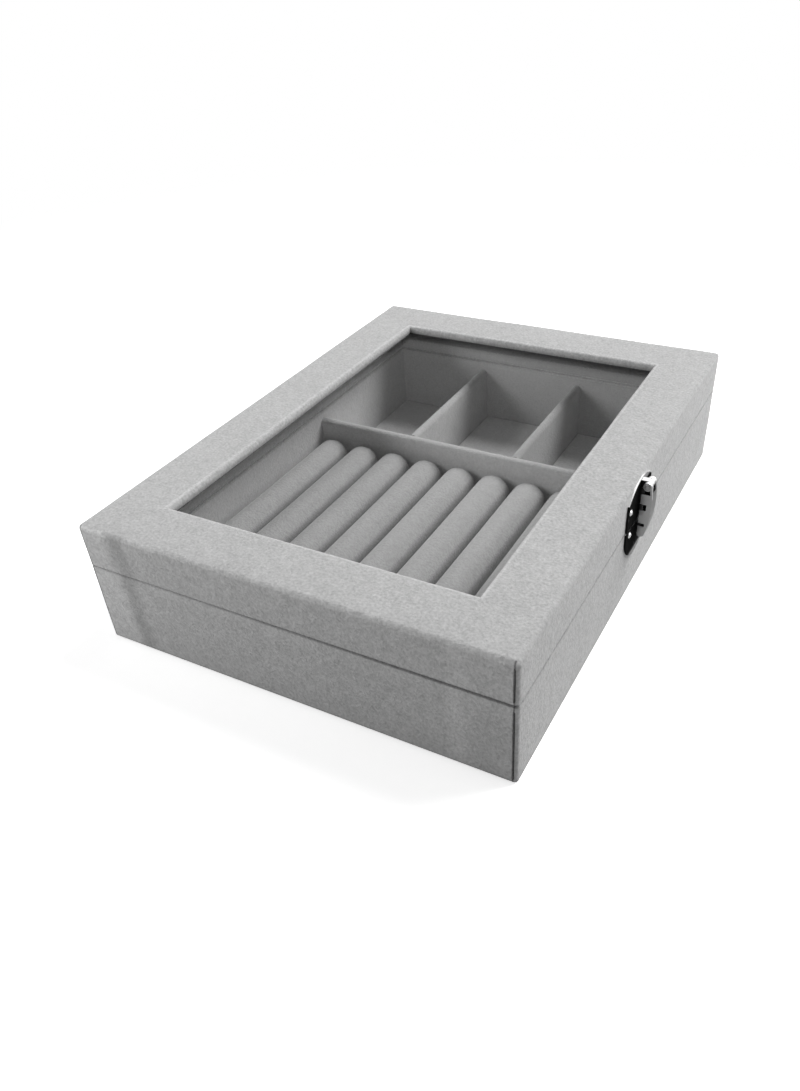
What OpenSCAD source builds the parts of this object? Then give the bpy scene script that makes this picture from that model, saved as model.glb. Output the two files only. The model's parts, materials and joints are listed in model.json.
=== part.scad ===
// Ring display box: a velvet-covered box with a glazed lid, ring rolls and three compartments.
// Millimetres. X runs across the box from the hinges to the clasp, Y along it, Z up.
// The origin is on the table, under the middle of the box.

/* [Box] */
// Width of the box, from the hinge side to the clasp side
box_w = 150; // [142:1:160]
// Length of the box
box_l = 200; // [192:1:215]
// Height of the closed box
box_h = 46; // [44:0.5:50]
// Height at which the lid meets the base
seam_z = 30.5; // [30:0.25:32]
// Thickness of the wooden wall boards
board_t = 8.4; // [7:0.2:9]
// Thickness of the glued velvet
velvet_t = 0.8; // [0.6:0.1:1]
// Radius of the four upright corners
corner_r = 1.8; // [1.5:0.1:2.4]
// Radius of the lid's top edge
lid_edge_r = 1.8; // [1:0.1:1.8]
// Radius of the edges that meet at the seam and of the base's bottom edge
rim_edge_r = 0.7; // [0.4:0.1:1]
// Thickness of the bottom board
bottom_t = 2; // [1.5:0.1:2.5]
// Thickness of the felt sheet under the base
felt_t = 0.6; // [0.4:0.1:1]
// Distance from the base's side to the edge of the felt sheet
felt_inset = 2.5; // [2:0.5:6]
// Width of the velvet that is folded under the base
hem_w = 14; // [10:1:20]

/* [Window] */
// Width of the lid's border round the glass
frame_w = 20.5; // [17:0.5:24]
// Thickness of the board that makes the border
frame_board_t = 1.6; // [1.2:0.2:2]
// Radius of the window's corners
window_r = 0.6; // [0.4:0.1:1]
// Radius of the window's upper edge
window_edge_r = 1.5; // [1:0.1:1.8]
// Width of the velvet that is folded under the window's edge
window_hem_w = 6; // [4:0.5:9]
// Thickness of the glass
glass_t = 2; // [1.5:0.1:2.4]
// Depth of the ledge that the glass lies on
glass_ledge = 2.2; // [1.6:0.1:3]
// Gap between the edge of the glass and the boards
glass_gap = 0.3; // [0.2:0.1:0.6]
// Radius of the corners of the glass
glass_corner_r = 0.4; // [0.2:0.1:1]

/* [Tray] */
// Height of a ring roll above its card
roll_h = 17.2; // [15:0.2:19]
// Gap between neighbouring rolls
roll_gap = 0.2; // [0.1:0.1:0.5]
// Radius at the ends of a ring roll
roll_end_r = 3.6; // [2.5:0.1:5]
// Thickness of the card that the rolls are glued to
roll_card_t = 0.8; // [0.6:0.1:1.2]
// Distance from the middle of the box to the front of the cross partition
partition_y = 20; // [10:1:30]
// Thickness of the cross partition
partition_t = 4; // [3:0.2:5]
// Height of the top of the cross partition
partition_top = 27; // [24:0.5:28]
// Distance of the first divider from the middle of the box
divider_1_x = -23.8; // [-30:0.2:-18]
// Distance of the second divider from the middle of the box
divider_2_x = 20; // [15:0.2:27]
// Thickness of a divider
divider_t = 3.5; // [2.5:0.1:4.5]
// Height of the top of a divider
divider_top = 26.6; // [22:0.2:28]
// Thickness of a compartment's floor pad
pad_t = 0.8; // [0.6:0.1:1.4]
// Gap round a floor pad and at the ends of the rolls
pad_gap = 0.2; // [0.1:0.1:0.5]
// Radius of the corners of the pads and of the card
card_corner_r = 0.8; // [0.4:0.1:2]

/* [Clasp] */
// Distance of the clasp from the middle of the box, along its side
clasp_y = -3; // [-20:1:20]
// Width of the two clasp plates
clasp_w = 23; // [22:1:26]
// Thickness of the two clasp plates
plate_t = 0.6; // [0.5:0.1:0.8]
// Distance from the lid's top to the top of the upper plate
plate_top_gap = 0.6; // [0.4:0.1:1.2]
// Rise of the upper plate's arched edge
upper_arch = 4.4; // [3:0.2:6]
// Distance from the seam to the lowest point of the lower plate
plate_reach = 13.3; // [12:0.1:15]
// Rise of the lower plate's arched edge
lower_arch = 9; // [7:0.2:10]
// Gap between the seam and each plate
plate_seam_gap = 0.35; // [0.2:0.05:0.5]
// Distance from the lid's top to the clasp's pin
clasp_pin_drop = 2.2; // [2.1:0.1:2.5]
// Distance from the box's side to the clasp's pin
clasp_pin_out = 3.3; // [3.1:0.1:3.5]
// Width of the lug that holds the pin
lug_w = 2.2; // [1.8:0.1:2.4]
// Gap between the lug and the tongue's knuckles
lug_gap = 0.15; // [0.1:0.05:0.2]
// Depth of the tongue's slot for the lug, below the knuckles
lug_slot_drop = 0.8; // [0.7:0.1:0.9]
// Width of the tongue
tongue_w = 5; // [4.8:0.1:6]
// Thickness of the tongue's sheet metal
tongue_t = 0.6; // [0.5:0.05:0.65]
// Radius of the tongue's bowed front
bow_r = 44; // [38:1:60]
// Distance from the tongue's lower end up to where its bow stands out furthest
bow_rise = 12.2; // [11.6:0.2:13.2]
// Distance from the box's side to the back edges of the tongue's cheeks
cheek_out = 1.5; // [1.3:0.1:1.7]
// Distance from the pin down to the top of the cheeks
cheek_drop = 2.8; // [2.7:0.1:3.2]
// Distance from the seam down to the lower end of the tongue
tongue_reach = 5.7; // [5.3:0.1:6.1]
// Radius of the cheeks' lower front corner
cheek_front_r = 1.2; // [0.8:0.1:1.4]
// Radius of the cheeks' back corners
cheek_back_r = 0.5; // [0.3:0.1:0.7]
// Distance from the pin down to the middle of the cheeks' windows
cheek_window_drop = 7.7; // [7.2:0.1:8]
// Height of the cheeks' windows
cheek_window_h = 2.2; // [1.8:0.1:2.6]
// Distance from the box's side to the ends of the cheeks' windows and slits
cheek_cut_out = 3.55; // [3.3:0.05:3.7]
// Distance from the seam down to the cheeks' slits and the catch between them
catch_drop = 1.1; // [0.9:0.1:1.3]
// Height of the cheeks' slits
catch_slit_h = 1.1; // [0.9:0.1:1.3]
// Distance from the box's side to the catch's end
catch_out = 2.6; // [2:0.1:2.6]
// Thickness of the catch
catch_t = 0.5; // [0.4:0.05:0.6]
// Gap between the catch and each cheek
catch_gap = 0.4; // [0.3:0.05:0.6]

/* [Hinges] */
// Distance of each hinge from the middle of the box
hinge_y = 62; // [50:1:75]
// Length of a hinge
hinge_l = 20; // [16:1:26]
// Height of a hinge leaf, from the pin to its edge
leaf_h = 9; // [8:0.5:10.5]
// Thickness of a hinge leaf
leaf_t = 0.6; // [0.4:0.1:0.8]
// Radius of the corners of a hinge leaf
leaf_corner_r = 1; // [0.5:0.1:1.6]
// Gap between the hinge knuckles and the velvet
knuckle_gap = 0.15; // [0.1:0.05:0.3]
// Gap between neighbouring knuckles
knuckle_side_gap = 0.15; // [0.1:0.05:0.3]

/* [Pins and tacks] */
// Outer radius of the hinge knuckles
knuckle_r = 1.4; // [1.3:0.05:1.6]
// Outer radius of the clasp's knuckle
clasp_knuckle_r = 1.45; // [1.3:0.05:1.5]
// Radius of the pins
pin_r = 0.6; // [0.5:0.05:0.7]
// Clearance of a pin in a turning knuckle
pin_clearance = 0.05; // [0.02:0.01:0.1]
// Radius of a pin's riveted head
pin_head_r = 0.95; // [0.8:0.05:1.1]
// Thickness of a pin's riveted head
pin_head_t = 0.35; // [0.25:0.05:0.5]
// Gap between a pin's head and the clasp's knuckle
pin_head_gap = 0.05; // [0.03:0.01:0.1]
// Radius of a tack's head
tack_head_r = 1.15; // [1:0.05:1.3]
// Rise of a tack's domed head
tack_dome = 0.55; // [0.4:0.05:0.7]
// Radius of a tack's shank
tack_r = 0.45; // [0.35:0.05:0.5]
// Length of a tack's shank
tack_l = 5; // [4:0.5:6]
// Clearance of a tack in its hole
tack_clearance = 0.05; // [0.02:0.01:0.1]
// Distance of a hinge's tacks from the hinge's middle
hinge_tack_y = 6.5; // [4:0.5:7]
// Distance of a hinge's tacks from the pin
hinge_tack_z = 5.6; // [4.5:0.1:6.5]
// Distance of the upper plate's tacks from the clasp's middle
upper_tack_y = 9.2; // [8:0.1:9.4]
// Distance from the lid's top to the upper plate's tacks
upper_tack_drop = 8.4; // [8:0.1:10]
// Distance of the lower plate's tacks from the clasp's middle
lower_tack_y = 8; // [7:0.1:8.6]
// Distance from the seam to the lower plate's tacks
lower_tack_drop = 2.2; // [2:0.1:2.8]

/* [Hidden] */
$fn = 48;

// Walls and the hollow between them
wall_t = board_t + 2 * velvet_t;
in_w = box_w - 2 * wall_t;
in_l = box_l - 2 * wall_t;
core_w = box_w - 2 * velvet_t;
core_l = box_l - 2 * velvet_t;
core_r = corner_r - velvet_t;
side_x = box_w / 2;

// Heights from the table upwards
hem_top = felt_t + velvet_t;
floor_z = hem_top + bottom_t;
base_board_top = seam_z - velvet_t;
lid_board_low = seam_z + velvet_t;
frame_top = box_h - velvet_t;
frame_low = frame_top - frame_board_t;
glass_top = frame_low - velvet_t;
glass_low = glass_top - glass_t;

// Window and glass
window_w = box_w - 2 * frame_w;
window_l = box_l - 2 * frame_w;
window_lap = window_edge_r + velvet_t / 2;
ledge_out = velvet_t + glass_ledge;
glass_w = in_w + 2 * (ledge_out - glass_gap);
glass_l = in_l + 2 * (ledge_out - glass_gap);

// Tray; each ring roll is a node of its own, so their number is fixed
roll_count = 9;
roll_pitch = in_w / roll_count;
roll_r = (roll_pitch - roll_gap) / 2;
roll_low = floor_z + roll_card_t;
roll_front = -in_l / 2 + pad_gap;
roll_back = partition_y - pad_gap;
partition_back = partition_y + partition_t;

// Clasp and hinges
upper_plate_top = box_h - plate_top_gap;
clasp_pin_z = box_h - clasp_pin_drop;
clasp_pin_x = side_x + clasp_pin_out;
upper_tack_z = box_h - upper_tack_drop;
lower_tack_z = seam_z - lower_tack_drop;
cheek_top = clasp_pin_z - cheek_drop;
cheek_window_z = clasp_pin_z - cheek_window_drop;
tongue_low_z = seam_z - tongue_reach;
catch_z = seam_z - catch_drop;
bow_z = tongue_low_z + bow_rise;
bow_drop = clasp_pin_z - bow_z;
bow_lap = 0.05;
bow_top_out = clasp_pin_out + clasp_knuckle_r - bow_lap;
bow_middle = bow_top_out - sqrt(bow_r * bow_r - bow_drop * bow_drop);
hinge_x = -side_x - knuckle_r - knuckle_gap;
knuckle_l = hinge_l / 5;
pilot_r = tack_r + tack_clearance;
overrun = 1;
bend_facets = 180;

// ---- shared shapes ----

// A closed band swept round a rectangle of corner centres.
// The profile is drawn as distance from the corner centre, then height.
module band(w, l) {
    for (q = [0:3]) {
        across = q % 2 == 0 ? w : l;
        along = q % 2 == 0 ? l : w;
        rotate(90 * q) {
            translate([across / 2, 0, 0])
                rotate([90, 0, 0])
                    linear_extrude(along, center = true)
                        children();
            translate([across / 2, along / 2, 0])
                rotate_extrude(angle = 90)
                    children();
        }
    }
}

module rounded_rect(w, l, r) {
    square([w - 2 * r, l], center = true);
    square([w, l - 2 * r], center = true);
    for (x = [-1, 1], y = [-1, 1])
        translate([x * (w / 2 - r), y * (l / 2 - r)])
            circle(r);
}

module rounded_block(w, l, r, low, top) {
    translate([0, 0, low])
        linear_extrude(top - low)
            rounded_rect(w, l, r);
}

// A flat ring with a square hole
module ring_plate(w, l, hole_w, hole_l, low, top) {
    translate([0, 0, low])
        linear_extrude(top - low)
            difference() {
                square([w, l], center = true);
                square([hole_w, hole_l], center = true);
            }
}

// What is cut from a corner of an outline to round it; the corner points to +X and +Y
module corner_cut(r) {
    translate([-r, -r])
        difference() {
            square(r + overrun);
            circle(r);
            translate([-overrun, -overrun])
                square([overrun, r + 2 * overrun]);
            translate([-overrun, -overrun])
                square([r + 2 * overrun, overrun]);
        }
}

// Velvet wrapped over a wall: outer skin with a fold at the top and at the bottom
module wrap_profile(low, top, low_r, top_r) {
    difference() {
        translate([0, low])
            square([corner_r, top - low]);
        translate([-overrun, low + velvet_t])
            square([overrun + corner_r - velvet_t, top - low - 2 * velvet_t]);
        translate([corner_r, top])
            corner_cut(top_r);
        translate([corner_r, low])
            mirror([0, 1])
                corner_cut(low_r);
    }
}

// Velvet wrapped over the window's edge, which faces the corner centre
module window_profile() {
    difference() {
        translate([window_r, glass_top])
            square([window_hem_w, box_h - glass_top]);
        translate([window_r + velvet_t, frame_low])
            square([window_hem_w, frame_board_t]);
        translate([window_r, box_h])
            mirror([1, 0])
                corner_cut(window_edge_r);
    }
}

// One wall board of a block that fills the cover: the two long boards run through, the short
// ones butt between them
module board_side(side) {
    long_l = box_l + 2 * overrun;
    short_w = in_w + 2 * velvet_t;
    inner_x = in_w / 2 + velvet_t;
    inner_y = in_l / 2 + velvet_t;
    intersection() {
        children();
        if (side == "hinge")
            translate([-inner_x - board_t - overrun, -long_l / 2, 0])
                cube([board_t + overrun, long_l, box_h]);
        if (side == "clasp")
            translate([inner_x, -long_l / 2, 0])
                cube([board_t + overrun, long_l, box_h]);
        if (side == "front")
            translate([-short_w / 2, -inner_y - board_t - overrun, 0])
                cube([short_w, board_t + overrun, box_h]);
        if (side == "back")
            translate([-short_w / 2, inner_y, 0])
                cube([short_w, board_t + overrun, box_h]);
    }
}

// A board standing on edge with a rounded top, its length along X
module divider_board(length, t, low, top) {
    rotate([90, 0, 90])
        linear_extrude(length)
            union() {
                translate([-t / 2, low])
                    square([t, top - low - t / 2]);
                translate([0, top - t / 2])
                    circle(t / 2);
            }
}

// Tack positions as [x, y, z, outward direction along X]
function hinge_tack_spots(up) =
    [for (h = [-1, 1], t = [-1, 1])
        [-side_x, h * hinge_y + t * hinge_tack_y, seam_z + up * hinge_tack_z, -1]];
function clasp_tack_spots(y, z) = [for (t = [-1, 1]) [side_x, clasp_y + t * y, z, 1]];

module pilot_holes(spots) {
    for (s = spots)
        translate([s[0] + s[3] * overrun, s[1], s[2]])
            rotate([0, -90 * s[3], 0])
                cylinder(h = tack_l + overrun, r = pilot_r);
}

// Domed tacks whose heads lie on metal of the given thickness
module tacks(spots, metal_t) {
    dome_r = (tack_head_r * tack_head_r + tack_dome * tack_dome) / (2 * tack_dome);
    for (s = spots)
        translate([s[0] + s[3] * metal_t, s[1], s[2]])
            rotate([0, 90 * s[3], 0]) {
                intersection() {
                    translate([0, 0, tack_dome - dome_r])
                        sphere(dome_r);
                    cylinder(h = tack_dome + overrun, r = tack_head_r + overrun);
                }
                translate([0, 0, -tack_l])
                    cylinder(h = tack_l, r = tack_r);
            }
}

// A pin along Y with riveted heads, its middle at the origin
module riveted_pin(length) {
    rotate([90, 0, 0]) {
        cylinder(h = length, r = pin_r, center = true);
        for (s = [-1, 1])
            translate([0, 0, s * (length + pin_head_t) / 2])
                cylinder(h = pin_head_t, r = pin_head_r, center = true);
    }
}

// ---- base ----

module bottom_felt() {
    color("#3f3f3f")
        rounded_block(box_w - 2 * felt_inset, box_l - 2 * felt_inset, corner_r, 0, felt_t);
}

module bottom_board() {
    color("#b59b73")
        rounded_block(core_w, core_l, core_r, hem_top, floor_z);
}

module base_board(side) {
    color("#b59b73")
        difference() {
            board_side(side)
                rounded_block(core_w, core_l, core_r, floor_z, base_board_top);
            if (side == "hinge")
                pilot_holes(hinge_tack_spots(-1));
            if (side == "clasp")
                pilot_holes(clasp_tack_spots(lower_tack_y, lower_tack_z));
        }
}

module base_cover() {
    color("#a9a9a9")
        difference() {
            union() {
                band(box_w - 2 * corner_r, box_l - 2 * corner_r)
                    wrap_profile(felt_t, seam_z, rim_edge_r, rim_edge_r);
                ring_plate(box_w - 2 * corner_r, box_l - 2 * corner_r, in_w, in_l,
                    base_board_top, seam_z);
                ring_plate(box_w - 2 * corner_r, box_l - 2 * corner_r,
                    box_w - 2 * hem_w, box_l - 2 * hem_w, felt_t, hem_top);
            }
            pilot_holes(hinge_tack_spots(-1));
            pilot_holes(clasp_tack_spots(lower_tack_y, lower_tack_z));
        }
}

module tray_lining() {
    color("#8f8f8f")
        ring_plate(in_w + 2 * velvet_t, in_l + 2 * velvet_t, in_w, in_l, floor_z, base_board_top);
}

module cross_partition() {
    color("#9a9a9a")
        translate([-in_w / 2, partition_y + partition_t / 2, 0])
            divider_board(in_w, partition_t, floor_z, partition_top);
}

module divider(x) {
    color("#9a9a9a")
        translate([x, partition_back, 0])
            rotate(90)
                divider_board(in_l / 2 - partition_back, divider_t, floor_z, divider_top);
}

module floor_pad(x_low, x_high) {
    w = x_high - x_low - 2 * pad_gap;
    l = in_l / 2 - partition_back - 2 * pad_gap;
    color("#8a8a8a")
        translate([(x_low + x_high) / 2, (in_l / 2 + partition_back) / 2, 0])
            rounded_block(w, l, card_corner_r, floor_z, floor_z + pad_t);
}

module roll_card() {
    color("#6f6f6f")
        translate([0, (roll_front + roll_back) / 2, 0])
            rounded_block(in_w - 2 * pad_gap, roll_back - roll_front, card_corner_r,
                floor_z, roll_low);
}

// A foam roll wrapped in velvet: round on top, flat below and rounded at its two ends
module ring_roll(index) {
    length = roll_back - roll_front;
    shoulder = roll_h - roll_r;
    end_low = roll_h - roll_end_r;
    color("#8c8c8c")
        translate([-in_w / 2 + (index - 0.5) * roll_pitch, (roll_front + roll_back) / 2, roll_low])
            intersection() {
                rotate([90, 0, 0])
                    linear_extrude(length, center = true)
                        union() {
                            translate([-roll_r, 0])
                                square([2 * roll_r, shoulder]);
                            translate([0, shoulder])
                                circle(roll_r);
                        }
                rotate([90, 0, 90])
                    linear_extrude(2 * roll_pitch, center = true)
                        union() {
                            translate([-length / 2, 0])
                                square([length, end_low]);
                            translate([-length / 2 + roll_end_r, 0])
                                square([length - 2 * roll_end_r, roll_h]);
                            for (s = [-1, 1])
                                translate([s * (length / 2 - roll_end_r), end_low])
                                    circle(roll_end_r);
                        }
                linear_extrude(roll_h)
                    rounded_rect(2 * roll_r, length, roll_end_r);
            }
}

// ---- lid ----

module lid_board(side) {
    color("#b59b73")
        difference() {
            board_side(side)
                rounded_block(core_w, core_l, core_r, lid_board_low, frame_low);
            translate([0, 0, glass_low + box_h / 2])
                cube([in_w + 2 * ledge_out, in_l + 2 * ledge_out, box_h], center = true);
            if (side == "hinge")
                pilot_holes(hinge_tack_spots(1));
            if (side == "clasp")
                pilot_holes(clasp_tack_spots(upper_tack_y, upper_tack_z));
        }
}

module lid_top_frame() {
    color("#b59b73")
        difference() {
            rounded_block(core_w, core_l, core_r, frame_low, frame_top);
            rounded_block(window_w + 2 * velvet_t, window_l + 2 * velvet_t, window_r + velvet_t,
                frame_low - overrun, frame_top + overrun);
        }
}

module lid_cover() {
    skin_w = box_w - 2 * corner_r;
    skin_l = box_l - 2 * corner_r;
    color("#c2c2c2")
        difference() {
            union() {
                band(skin_w, skin_l)
                    wrap_profile(seam_z, box_h, rim_edge_r, lid_edge_r);
                ring_plate(skin_w, skin_l, in_w, in_l, seam_z, lid_board_low);
                band(window_w - 2 * window_r, window_l - 2 * window_r)
                    window_profile();
                ring_plate(skin_w, skin_l, window_w + 2 * window_lap, window_l + 2 * window_lap,
                    frame_top, box_h);
            }
            pilot_holes(hinge_tack_spots(1));
            pilot_holes(clasp_tack_spots(upper_tack_y, upper_tack_z));
        }
}

module lid_lining() {
    color("#8f8f8f")
        ring_plate(in_w + 2 * velvet_t, in_l + 2 * velvet_t, in_w, in_l, lid_board_low, glass_low);
}

module glass_pane() {
    color([0.85, 0.9, 0.9, 0.35])
        rounded_block(glass_w, glass_l, glass_corner_r, glass_low, glass_top);
}

// ---- clasp ----

// Outline of a clasp plate: a rectangle whose far edge is an arch
module plate_outline(height, arch) {
    half = clasp_w / 2;
    arch_r = (half * half + arch * arch) / (2 * arch);
    intersection() {
        translate([-half, 0])
            square([clasp_w, height]);
        translate([0, height - arch_r])
            circle(arch_r);
    }
}

// A side view of the clasp, given its width along Y; its X is the distance from the box's side
module across(w) {
    translate([side_x, clasp_y, 0])
        rotate([90, 0, 0])
            linear_extrude(w, center = true)
                children();
}

module pin_bore() {
    translate([clasp_pin_out, clasp_pin_z])
        circle(pin_r + pin_clearance);
}

module clasp_upper_plate() {
    height = upper_plate_top - seam_z - plate_seam_gap;
    color("silver")
        difference() {
            union() {
                translate([side_x, clasp_y, seam_z + plate_seam_gap])
                    rotate([90, 0, 90])
                        linear_extrude(plate_t)
                            plate_outline(height, upper_arch);
                across(lug_w) {
                    translate([clasp_pin_out, clasp_pin_z])
                        circle(clasp_knuckle_r);
                    translate([0, clasp_pin_z - clasp_knuckle_r])
                        square([clasp_pin_out, 2 * clasp_knuckle_r]);
                }
            }
            across(2 * lug_w)
                pin_bore();
            pilot_holes(clasp_tack_spots(upper_tack_y, upper_tack_z));
        }
}

module clasp_pin() {
    color("gainsboro")
        translate([clasp_pin_x, clasp_y, clasp_pin_z])
            riveted_pin(tongue_w + 2 * pin_head_gap);
}

// The round of the tongue's bowed front, smaller by the given depth
module bow_round(depth) {
    translate([bow_middle, bow_z])
        circle(bow_r - depth, $fn = bend_facets);
}

// The tongue in its side view: knuckle, bowed front and cheek, which fills the bow's hollow
module tongue_side() {
    corner_z = tongue_low_z + cheek_front_r;
    inner_r = bow_r - cheek_front_r;
    corner_x = bow_middle + sqrt(inner_r * inner_r - (bow_z - corner_z) * (bow_z - corner_z));
    tangent_z = bow_z - bow_r * (bow_z - corner_z) / inner_r;
    translate([clasp_pin_out, clasp_pin_z])
        circle(clasp_knuckle_r);
    translate([corner_x, corner_z])
        circle(cheek_front_r);
    difference() {
        union() {
            intersection() {
                bow_round(0);
                translate([cheek_out, tangent_z])
                    square([2 * clasp_pin_out, clasp_pin_z - tangent_z]);
            }
            translate([cheek_out, tongue_low_z])
                square([corner_x - cheek_out, cheek_front_r]);
        }
        intersection() {
            bow_round(tongue_t);
            translate([0, cheek_top])
                square([2 * clasp_pin_out, clasp_pin_z - cheek_top]);
        }
        translate([cheek_out, cheek_top])
            mirror([1, 0])
                corner_cut(cheek_back_r);
        translate([cheek_out, tongue_low_z])
            rotate(180)
                corner_cut(cheek_back_r);
    }
}

// What is hollow between the tongue's cheeks; the bow ends a little above their lower ends
module channel_hollow() {
    hollow_low = tongue_low_z - overrun;
    intersection() {
        bow_round(tongue_t);
        translate([0, hollow_low])
            square([2 * clasp_pin_out, cheek_top + tongue_t - hollow_low]);
    }
    translate([0, hollow_low])
        square([2 * clasp_pin_out, overrun + tongue_t]);
}

// Window and slit of the cheeks, open at the back; the slit is an arc round the pin
module cheek_cuts() {
    cut_w = cheek_cut_out - cheek_out + overrun;
    slit_r = clasp_pin_z - catch_z;
    translate([cheek_out - overrun, cheek_window_z - cheek_window_h / 2])
        square([cut_w, cheek_window_h]);
    intersection() {
        translate([clasp_pin_out, clasp_pin_z])
            difference() {
                circle(slit_r + catch_slit_h / 2, $fn = bend_facets);
                circle(slit_r - catch_slit_h / 2, $fn = bend_facets);
            }
        translate([cheek_out - overrun, catch_z - 2 * catch_slit_h])
            square([cut_w, 4 * catch_slit_h]);
    }
}

module clasp_tongue() {
    slot_w = lug_w + 2 * lug_gap;
    slot_low = clasp_pin_z - clasp_knuckle_r - lug_slot_drop;
    color("silver")
        difference() {
            across(tongue_w)
                tongue_side();
            across(tongue_w - 2 * tongue_t)
                channel_hollow();
            across(slot_w)
                translate([0, slot_low])
                    square([2 * clasp_pin_out, box_h]);
            across(2 * tongue_w) {
                pin_bore();
                cheek_cuts();
            }
        }
}

module clasp_lower_plate() {
    height = plate_reach - plate_seam_gap;
    color("silver")
        difference() {
            union() {
                translate([side_x, clasp_y, seam_z - plate_seam_gap])
                    mirror([0, 0, 1])
                        rotate([90, 0, 90])
                            linear_extrude(plate_t)
                                plate_outline(height, lower_arch);
                across(tongue_w - 2 * tongue_t - 2 * catch_gap)
                    translate([0, catch_z - catch_t / 2])
                        square([catch_out, catch_t]);
            }
            pilot_holes(clasp_tack_spots(lower_tack_y, lower_tack_z));
        }
}

// ---- hinges ----

// Both leaves of one storey; up is 1 for the lid and -1 for the base.
// The base's leaf has knuckles 1, 3 and 5 and the lid's has 2 and 4.
module hinge_leaves(up) {
    reach = knuckle_r + knuckle_gap;
    first = up > 0 ? 1 : 0;
    color("gainsboro")
        difference() {
            for (h = [-1, 1])
                translate([hinge_x, h * hinge_y, seam_z]) {
                    translate([reach - leaf_t, 0, 0])
                        rotate([90, 0, 90])
                            linear_extrude(leaf_t)
                                leaf_outline(up, reach);
                    for (k = [first:2:4])
                        translate([0, (k - 2) * knuckle_l, 0])
                            rotate([90, 0, 0])
                                linear_extrude(knuckle_l - knuckle_side_gap, center = true)
                                    difference() {
                                        union() {
                                            circle(knuckle_r);
                                            translate([reach - leaf_t, up > 0 ? 0 : -reach])
                                                square([leaf_t, reach]);
                                        }
                                        circle(pin_r + pin_clearance);
                                    }
                }
            pilot_holes(hinge_tack_spots(up));
        }
}

module leaf_outline(up, reach) {
    mirror([0, up > 0 ? 0 : 1])
        difference() {
            translate([-hinge_l / 2, reach])
                square([hinge_l, leaf_h - reach]);
            for (s = [0, 1])
                mirror([s, 0])
                    translate([hinge_l / 2, leaf_h])
                        corner_cut(leaf_corner_r);
        }
}

module hinge_pins() {
    color("gainsboro")
        for (h = [-1, 1])
            translate([hinge_x, h * hinge_y, seam_z])
                riveted_pin(hinge_l - knuckle_side_gap);
}

bottom_felt();
bottom_board();
base_board("front");  // base_front_board
base_board("back");  // base_back_board
base_board("hinge");  // base_hinge_board
base_board("clasp");  // base_clasp_board
base_cover();
tray_lining();
cross_partition();
divider(divider_1_x);  // divider_left
divider(divider_2_x);  // divider_right
floor_pad(-in_w / 2, divider_1_x - divider_t / 2);  // pad_left
floor_pad(divider_1_x + divider_t / 2, divider_2_x - divider_t / 2);  // pad_middle
floor_pad(divider_2_x + divider_t / 2, in_w / 2);  // pad_right
roll_card();
ring_roll(1);  // ring_roll_1
ring_roll(2);  // ring_roll_2
ring_roll(3);  // ring_roll_3
ring_roll(4);  // ring_roll_4
ring_roll(5);  // ring_roll_5
ring_roll(6);  // ring_roll_6
ring_roll(7);  // ring_roll_7
ring_roll(8);  // ring_roll_8
ring_roll(9);  // ring_roll_9
lid_board("front");  // lid_front_board
lid_board("back");  // lid_back_board
lid_board("hinge");  // lid_hinge_board
lid_board("clasp");  // lid_clasp_board
lid_top_frame();
lid_cover();
lid_lining();
glass_pane();
clasp_upper_plate();
clasp_pin();
color("silver") tacks(clasp_tack_spots(upper_tack_y, upper_tack_z), plate_t);  // clasp_upper_tacks
clasp_tongue();
clasp_lower_plate();
color("silver") tacks(clasp_tack_spots(lower_tack_y, lower_tack_z), plate_t);  // clasp_lower_tacks
hinge_leaves(-1);  // hinge_leaves_base
hinge_leaves(1);  // hinge_leaves_lid
hinge_pins();
color("gainsboro") tacks(hinge_tack_spots(-1), leaf_t);  // hinge_tacks_base
color("gainsboro") tacks(hinge_tack_spots(1), leaf_t);  // hinge_tacks_lid
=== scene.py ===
# %% [markdown]
# # A velvet ring box with a glass lid
# The box is two shallow wooden trays, hinged along one long side and covered with velvet. The lid
# has a window with a pane of glass. Inside are nine foam rolls for rings and three compartments.
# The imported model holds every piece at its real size, the boards, the glass, the hinges and the
# clasp in full detail. This file dresses it: it models the soft pieces again, with their folds and
# waves, and gives each surface its finish.

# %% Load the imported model
import json
import math

import bmesh
import bpy
from mathutils import Matrix, Vector


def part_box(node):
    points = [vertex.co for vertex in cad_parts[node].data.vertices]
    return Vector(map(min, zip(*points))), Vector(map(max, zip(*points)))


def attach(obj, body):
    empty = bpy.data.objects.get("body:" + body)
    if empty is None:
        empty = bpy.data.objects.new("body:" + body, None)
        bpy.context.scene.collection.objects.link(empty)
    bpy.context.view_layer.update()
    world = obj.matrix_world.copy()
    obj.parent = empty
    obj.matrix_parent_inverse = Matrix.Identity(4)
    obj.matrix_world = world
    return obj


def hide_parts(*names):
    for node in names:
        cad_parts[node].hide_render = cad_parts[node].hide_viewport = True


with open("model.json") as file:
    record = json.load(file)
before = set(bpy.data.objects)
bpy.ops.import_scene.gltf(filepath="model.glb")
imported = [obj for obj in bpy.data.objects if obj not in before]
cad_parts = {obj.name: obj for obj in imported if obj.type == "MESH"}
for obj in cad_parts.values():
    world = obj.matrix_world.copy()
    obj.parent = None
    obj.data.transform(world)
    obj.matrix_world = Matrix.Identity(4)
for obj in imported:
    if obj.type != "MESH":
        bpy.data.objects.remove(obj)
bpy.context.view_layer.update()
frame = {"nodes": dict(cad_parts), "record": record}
MM = 0.001


# %% [markdown]
# ## The sizes that everything shares
# Blender works in metres, but a box like this is thought of in millimetres, so each size is
# written in millimetres and meets MM only where Blender needs it. The box stands on z = 0 with its
# middle at x = 0 and y = 0. That makes half widths the handiest sizes: one number does both sides.

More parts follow.
